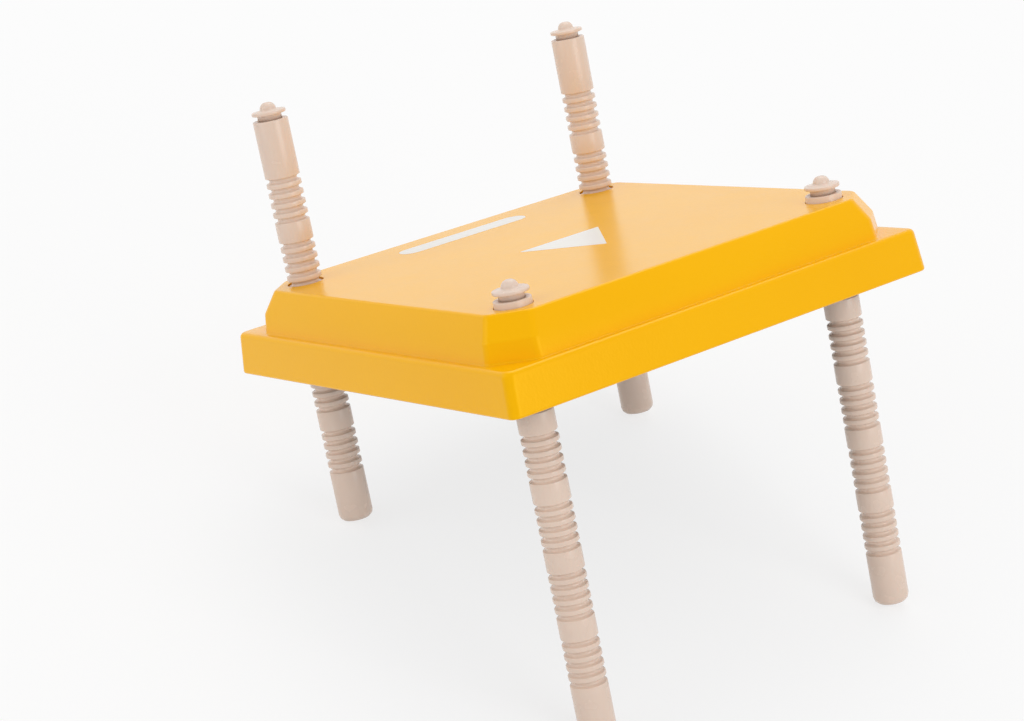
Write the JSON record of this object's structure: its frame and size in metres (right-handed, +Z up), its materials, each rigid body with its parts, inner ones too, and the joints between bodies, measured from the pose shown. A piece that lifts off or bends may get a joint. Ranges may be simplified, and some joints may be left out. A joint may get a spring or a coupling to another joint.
{
  "type": "chicken brooder heater plate",
  "caption": "Square warming plate with a bevelled yellow housing, standing aslope on ribbed legs that snap to a chosen height at each corner.",
  "frame": {"origin": "centre of the bounding box at floor level, between the four feet, with the plate standing aslope as pictured", "axes": "+X from the plate's low side towards its high side, +Y to the left when looking along +X, +Z up"},
  "size_m": [0.3094, 0.2536, 0.2078],
  "materials": {
    "yellow_shell": "gloss",
    "base_panel": "matte",
    "spreader": "satin",
    "film": "satin",
    "track": "satin",
    "board": "matte",
    "fuse": "satin",
    "leads": "satin",
    "inlet": "satin",
    "contact": "polished",
    "nut": "satin",
    "screws": "satin",
    "clips": "satin",
    "legs": "satin"
  },
  "bodies": {
    "plate": {"upper_shell": "yellow_shell", "base_panel": "base_panel", "heat_spreader": "spreader", "heating_film": "film", "heating_track": "track", "insulation_board": "board", "thermal_fuse": "fuse", "supply_leads": "leads", "dc_inlet": "inlet", "dc_inlet_pin": "contact", "dc_inlet_nut": "nut", "base_screws": "screws", "low_right_clip": "clips", "low_left_clip": "clips", "high_right_clip": "clips", "high_left_clip": "clips"},
    "low_right_leg_body": {"low_right_leg": "legs", "low_right_knob": "legs"},
    "low_left_leg_body": {"low_left_leg": "legs", "low_left_knob": "legs"},
    "high_right_leg_body": {"high_right_leg": "legs", "high_right_knob": "legs"},
    "high_left_leg_body": {"high_left_leg": "legs", "high_left_knob": "legs"}
  },
  "joints": [
    {"name": "low_right_leg_slide", "type": "slide", "parent": "plate", "child": "low_right_leg_body", "axis": [-0.3983, 0, 0.9173], "range_m": [-0.0825, 0.0723], "deforming": ["low_right_clip"]},
    {"name": "low_left_leg_slide", "type": "slide", "parent": "plate", "child": "low_left_leg_body", "axis": [-0.3983, 0, 0.9173], "range_m": [-0.0825, 0.0723], "deforming": ["low_left_clip"]},
    {"name": "high_right_leg_slide", "type": "slide", "parent": "plate", "child": "high_right_leg_body", "axis": [-0.3983, 0, 0.9173], "range_m": [0, 0.1548], "deforming": ["high_right_clip"]},
    {"name": "high_left_leg_slide", "type": "slide", "parent": "plate", "child": "high_left_leg_body", "axis": [-0.3983, 0, 0.9173], "range_m": [0, 0.1548], "deforming": ["high_left_clip"]}
  ]
}
